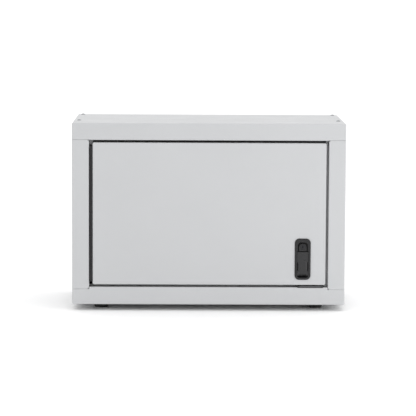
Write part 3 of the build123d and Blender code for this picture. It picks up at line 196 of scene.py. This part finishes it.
def clear_pipe(name):
    look = Look(name, (0.75, 0.85, 0.78), 0.15)
    look.put("Transmission Weight", 0.7)
    look.put("Emission Color", (0.25, 1.0, 0.35, 1.0))
    look.put("Emission Strength", 0.6)
    look.rough(look.ranged(look.noise(400.0), 0.1, 0.25))
    look.bump(look.noise(700.0), 0.01 * MM)
    return look.material


def cable_sheath(name, color):
    """Extruded plastic sheath with a faint lengthwise waviness."""
    look = Look(name, color, 0.4)
    look.tint(look.ranged(look.noise(150.0, 3.0), 0.0, 0.6), tuple(c * 0.7 for c in color))
    look.rough(look.ranged(look.noise(90.0), 0.34, 0.52))
    look.bump(look.noise(380.0, 2.0), 0.03 * MM)
    return look.material


def glass(name):
    look = Look(name, (0.9, 0.93, 0.95), 0.06)
    look.put("Transmission Weight", 0.9)
    look.rough(look.ranged(look.noise(150.0), 0.04, 0.12))
    look.bump(look.noise(120.0), 0.01 * MM)
    return look.material


COAT = (0.481, 0.487, 0.4965)
LOOKS = {
    "coat": powder_coat("coat_light_grey", COAT),
    # The inner panels get a copy of the light grey coat made 3 % darker: painted shade. Its stronger orange
    # peel is surface texture.
    "coat_shaded_inner": powder_coat("inner_coat_painted_shade", tuple(c * 0.97 for c in COAT), peel=1.4),
    "zinc": bare_metal("zinc_plate", (0.60, 0.60, 0.59), 0.34),
    "cap_screw": bare_metal("top_screw_zinc", (0.30, 0.31, 0.32), 0.42, (1, 1, 1), 200.0),
    "hinge": blackened("blackened_steel", (0.011, 0.011, 0.012)),
    "rolled": bare_metal("rolled_steel", (0.40, 0.40, 0.40), 0.4),
    "pole": bare_metal("ground_pole_steel", (0.20, 0.20, 0.20), 0.38, (1.0, 20.0, 20.0), 220.0),
    "lock": bare_metal("lock_dark_chrome", (0.045, 0.045, 0.048), 0.34, (1, 1, 1), 260.0),
    "pins": bare_metal("pin_nickel", (0.66, 0.64, 0.58), 0.25),
    "magnet": soft_rubber("ferrite", (0.03, 0.03, 0.032)),
    "handle": moulded("handle_black", (0.012, 0.012, 0.013), 0.42, specular=0.36),
    "lever": moulded("lever_black", (0.014, 0.014, 0.015), 0.3, specular=0.42),
    "plastic": moulded("housing_black", (0.022, 0.022, 0.024), 0.5),
    "rack": moulded("rack_dark_grey", (0.10, 0.105, 0.11), 0.55),
    "rubber": soft_rubber("rubber_black", (0.016, 0.016, 0.016)),
    "mat": soft_rubber("mat_grey", (0.035, 0.036, 0.038)),
    "board": circuit_board("solder_mask"),
    "pipe": clear_pipe("light_pipe"),
    "fuse": glass("fuse_glass"),
    "mains": cable_sheath("sheath_black", (0.02, 0.02, 0.022)),
    "earth": cable_sheath("sheath_green", (0.12, 0.33, 0.03)),
    "dc": cable_sheath("sheath_red", (0.33, 0.02, 0.018)),
}
WEARS = {
    "coat": ["top_cover", "base_tray", "side_panel_left", "side_panel_right", "door_panel"],
    # The inner panels wear the darker copy of the coat, which is painted shade.
    "coat_shaded_inner": ["back_panel", "door_liner", "door_stiffener", "rack_bench", "charger_fascia"],
    "zinc": ["back_screws", "foot_screws", "liner_rivets", "catch_screws", "spacer_screws", "board_spacers",
             "psu_screws", "inlet_screws", "fan_screws", "tongue_screw", "psu_base", "psu_cover",
             "charge_sockets", "fan_guard", "lock_tongue"],
    "cap_screw": ["top_screws"],
    "hinge": ["hinge_leaf_door", "hinge_leaf_frame", "hinge_pin", "hinge_rivets_door", "hinge_rivets_frame"],
    "rolled": ["lever_pin", "lever_spring"],
    "pole": ["catch_pole"],
    "lock": ["lock_cylinder"],
    "pins": ["inlet_pins"],
    "magnet": ["catch_magnet"],
    "handle": ["handle_dish", "lock_boss"],
    "lever": ["handle_lever"],
    "plastic": ["catch_body", "inlet_housing", "rocker_switch", "fuse_drawer", "fan_frame", "fan_rotor",
                "lead_clip", "psu_terminals"],
    "rack": ["rack_base", "slot_dividers"],
    "rubber": ["rubber_feet", "stop_buffers"],
    "mat": ["slot_mats"],
    "board": ["charging_boards"],
    "pipe": ["light_pipes"],
    "fuse": ["fuse"],
    "mains": ["mains_lead"],
    "earth": ["earth_lead"],
    "dc": ["dc_leads"],
    "coat_rivet": ["seam_rivets"],
}
LOOKS["coat_rivet"] = LOOKS["coat"]


def dress(obj, look):
    """Gives an object one material in every slot."""
    if not obj.data.materials:
        obj.data.materials.append(LOOKS[look])
    for i in range(len(obj.data.materials)):
        obj.data.materials[i] = LOOKS[look]


for look, names in WEARS.items():
    for name in names:
        dress(nodes[name], look)

# ---------------------------------------------------------------- detail pieces


class Shape:
    """Gathers turned, swept and chamfered solids into one mesh."""

    def __init__(self):
        self.mesh = bmesh.new()

    def rings(self, rings, closed_ends=True):
        """Skins a row of equal rings of points, in order."""
        made = [[self.mesh.verts.new(point) for point in ring] for ring in rings]
        count = len(made[0])
        for one, other in zip(made, made[1:]):
            for i in range(count):
                j = (i + 1) % count
                self.mesh.faces.new((one[i], one[j], other[j], other[i]))
        if closed_ends:
            self.mesh.faces.new(list(reversed(made[0])))
            self.mesh.faces.new(made[-1])

    def turned(self, place, profile, sides=20):
        """Turns (radius, height) pairs about the place's own Z."""
        self.rings([[
            place @ Vector((r * math.cos(math.tau * i / sides), r * math.sin(math.tau * i / sides), h))
            for i in range(sides)] for r, h in profile])

    def swept(self, path, radius, sides=8):
        """A round wire along a path of points."""
        rings = []
        for i, point in enumerate(path):
            along = (path[min(i + 1, len(path) - 1)] - path[max(i - 1, 0)]).normalized()
            across = along.cross(Vector((0.31, 0.17, 0.94))).normalized()
            up = across.cross(along)
            turns = [math.tau * k / sides for k in range(sides)]
            rings.append([point + radius * (across * math.cos(turn) + up * math.sin(turn)) for turn in turns])
        self.rings(rings)

    def chamfered(self, low, high, edge):
        """A block between two corners with its edges rounded off."""
        grow = Matrix.Diagonal((*(b - a for a, b in zip(low, high)), 1.0))
        centre = Vector([(a + b) / 2 for a, b in zip(low, high)])
        made = bmesh.ops.create_cube(self.mesh, size=1.0, matrix=Matrix.Translation(centre) @ grow)
        edges = list({e for v in made["verts"] for e in v.link_edges})
        bmesh.ops.bevel(self.mesh, geom=edges, offset=edge, segments=2, affect="EDGES")

    def finish(self, name, body, look, slot):
        bmesh.ops.recalc_face_normals(self.mesh, faces=self.mesh.faces)
        data = bpy.data.meshes.new(name)
        self.mesh.to_mesh(data)
        self.mesh.free()
        data.materials.append(LOOKS[look])
        obj = bpy.data.objects.new(name, data)
        bpy.context.collection.objects.link(obj)
        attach(obj, body)
        return obj


def facing_back(x, y, z):
    """A place whose own Z points to the back."""
    return Matrix.Translation((x, y, z)) @ Matrix.Rotation(math.radians(-90), 4, "X")


def coil_spring():
    """The lever's spring as a wound wire on its pin, with both legs."""
    low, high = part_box("lever_spring")
    wire = 0.25 * MM
    radius = (high.z - low.z) / 2 - wire
    centre = (low + high) / 2
    turns, steps = 6, 16
    length = high.x - low.x - 2 * wire
    path = []
    for i in range(turns * steps + 1):
        turn = math.tau * i / steps
        path.append(centre + Vector((
            length * (i / (turns * steps) - 0.5), radius * math.cos(turn), radius * math.sin(turn))))
    leg = Vector((0.0, 0.0, -2.2 * MM))
    shape = Shape()
    shape.swept([path[0] + leg * 0.35, *path, path[-1] + leg * 0.5], wire)
    return shape.finish("lever_spring_coil", "door", "rolled", "hinge_steel")


LEG_PITCH, LEG_R = 1.27 * MM, 0.16 * MM    # chip legs


def board_parts():
    """Coils, capacitors and chips on the back of the charging boards."""
    low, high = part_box("charging_boards")
    boards, gap = 3, 12.0 * MM
    pitch = (high.x - low.x + gap) / boards
    back = high.y
    cans, coils, chips, legs = Shape(), Shape(), Shape(), Shape()
    for board in range(boards):
        left = low.x + board * pitch
        for cell in range(4):
            x = left + (cell + 0.5) * (pitch - gap) / 4
            can_z = low.z + 0.27 * (high.z - low.z)
            cans.turned(facing_back(x - 9.0 * MM, back, can_z), [
                (4.0 * MM, 0.0), (4.0 * MM, 1.6 * MM), (3.7 * MM, 2.1 * MM), (4.0 * MM, 2.6 * MM),
                (4.0 * MM, 10.6 * MM), (3.6 * MM, 11.0 * MM), (3.2 * MM, 10.8 * MM)], 24)
            coils.turned(facing_back(x + 9.0 * MM, back, can_z), [
                (5.6 * MM, 0.0), (5.8 * MM, 0.4 * MM), (5.8 * MM, 1.2 * MM), (4.6 * MM, 1.6 * MM),
                (4.6 * MM, 4.6 * MM), (5.8 * MM, 5.0 * MM), (5.8 * MM, 5.8 * MM), (5.4 * MM, 6.2 * MM)], 24)
            chip_z = low.z + 0.70 * (high.z - low.z)
            chips.chamfered(
                (x - 5.0 * MM, back + 0.15 * MM, chip_z - 2.0 * MM),
                (x + 5.0 * MM, back + 1.75 * MM, chip_z + 2.0 * MM), 0.25 * MM)
            for pin in range(8):
                pin_x = x + (pin - 3.5) * LEG_PITCH
                for side in (-1, 1):
                    path = [
                        Vector((pin_x, back + 1.0 * MM, chip_z + side * 1.9 * MM)),
                        Vector((pin_x, back + 0.9 * MM, chip_z + side * 2.5 * MM)),
                        Vector((pin_x, back + 0.2 * MM, chip_z + side * 2.8 * MM)),
                        Vector((pin_x, back + 0.15 * MM, chip_z + side * 3.4 * MM))]
                    legs.swept(path, LEG_R, 6)
    cans.finish("board_capacitors", "cabinet", "zinc", "zinc")
    coils.finish("board_coils", "cabinet", "magnet", "magnet")
    chips.finish("board_chips", "cabinet", "plastic", "black_plastic")
    legs.finish("board_chip_legs", "cabinet", "pins", "lock_metal")


WELL_PITCH = 10.0 * MM    # between the terminal block's partitions


def terminal_clamps():
    """Slotted clamp screws in the power supply's terminal block."""
    low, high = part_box("psu_terminals")
    wells = 8
    shape = Shape()
    for i in range(wells):
        z = (low.z + high.z) / 2 + (i - (wells - 1) / 2) * WELL_PITCH
        x = low.x + 0.72 * (high.x - low.x)
        face = low.y + 2.6 * MM
        toward = Matrix.Translation((x, face, z)) @ Matrix.Rotation(math.radians(90), 4, "X")
        shape.turned(toward, [
            (1.9 * MM, -3.0 * MM), (1.9 * MM, 0.5 * MM), (2.6 * MM, 0.5 * MM), (2.6 * MM, 1.3 * MM),
            (2.3 * MM, 1.6 * MM), (1.5 * MM, 1.6 * MM), (1.1 * MM, 0.7 * MM)], 20)
    shape.finish("terminal_clamp_screws", "cabinet", "pins", "zinc")


SEAL_BEHIND = 1.78 * MM    # the stop's front face behind the door's back edge


def head_seal_gap_shade():
    """Ribbed foam strip on the stop that is turned down behind the door's top edge; its black also darkens
    the top gap as painted shade.
    """
    door_low, door_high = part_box("door_panel")
    hinge_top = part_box("hinge_leaf_frame")[1].z
    foot = hinge_top + 1.6 * MM
    face = door_high.y + SEAL_BEHIND
    height, ribs = 9.6 * MM, 3
    profile = [(0.0, 0.0)]
    for rib in range(ribs):
        base = height * (rib + 0.08) / ribs
        for step in range(7):
            turn = math.pi * step / 6
            profile.append((
                -0.5 * MM - 0.75 * MM * math.sin(turn), base + height * 0.42 / ribs * (1 - math.cos(turn))))
    profile.append((0.0, height))
    shape = Shape()
    shape.rings([
        [Vector((x, face + y, foot + z)) for y, z in profile]
        for x in (door_low.x + 1.0 * MM, door_high.x - 1.0 * MM)])
    return shape.finish("head_seal_gap_shade", "cabinet", "rubber", "rubber")


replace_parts(coil_spring(), "lever_spring")
head_seal_gap_shade()
board_parts()
terminal_clamps()

# ---------------------------------------------------------------- studio


def camera_at(location, azimuth, elevation, roll, lens):
    """A camera that looks azimuth degrees right of +Y and elevation degrees down."""
    az, el, turn = (math.radians(a) for a in (azimuth, elevation, roll))
    ahead = Vector((math.sin(az) * math.cos(el), math.cos(az) * math.cos(el), -math.sin(el)))
    level = Vector((math.cos(az), -math.sin(az), 0.0))
    up = level.cross(ahead)
    right = level * math.cos(turn) + up * math.sin(turn)
    top = up * math.cos(turn) - level * math.sin(turn)
    data = bpy.data.cameras.new("camera")
    data.lens = lens
    data.sensor_width = 36.0
    data.clip_end = 50.0
    obj = bpy.data.objects.new("camera", data)
    obj.matrix_world = Matrix.Translation(location) @ Matrix((right, top, -ahead)).transposed().to_4x4()
    bpy.context.collection.objects.link(obj)
    bpy.context.scene.camera = obj


def soft_box(name, location, target, size, power, color=(1.0, 1.0, 1.0)):
    data = bpy.data.lights.new(name, "AREA")
    data.shape = "RECTANGLE"
    data.size, data.size_y = size
    data.energy = power
    data.color = color
    obj = bpy.data.objects.new(name, data)
    obj.location = location
    obj.rotation_euler = (Vector(target) - Vector(location)).to_track_quat("-Z", "Y").to_euler()
    bpy.context.collection.objects.link(obj)


def pale_floor():
    """A wide matt white floor with a barely visible grain."""
    mesh = bpy.data.meshes.new("floor")
    half = 14.0
    corners = [(-half, -half, 0), (half, -half, 0), (half, half, 0), (-half, half, 0)]
    mesh.from_pydata(corners, [], [(0, 1, 2, 3)])
    obj = bpy.data.objects.new("floor", mesh)
    bpy.context.collection.objects.link(obj)
    look = Look("floor_white", (0.97, 0.97, 0.97), 0.9, specular=0.1)
    look.tint(look.ranged(look.noise(3.0), 0.0, 0.4), (0.965, 0.965, 0.965))
    look.bump(look.noise(300.0), 0.02 * MM)
    mesh.materials.append(look.material)


def white_world():
    world = bpy.data.worlds.new("studio")
    world.use_nodes = True
    back = world.node_tree.nodes["Background"]
    back.inputs["Color"].default_value = (1.0, 1.0, 1.0, 1.0)
    back.inputs["Strength"].default_value = 1.15
    bpy.context.scene.world = world


body_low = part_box("base_tray")[0]
FRONT_Y, BODY_Z = body_low.y, body_low.z
camera_at(Vector((-0.0572, FRONT_Y - 4.808, BODY_Z + 0.7315)), 0.66, 6.14, 0.29, 190.8)
pale_floor()
white_world()
soft_box("key_right", (1.5, -1.4, 0.43), (0.1, -0.15, 0.16), (1.0, 0.8), 8.0)
soft_box("top_soft", (0.3, 0.1, 2.6), (0, 0, 0.2), (2.4, 1.6), 6.0)
bpy.context.scene.view_settings.view_transform = "Standard"
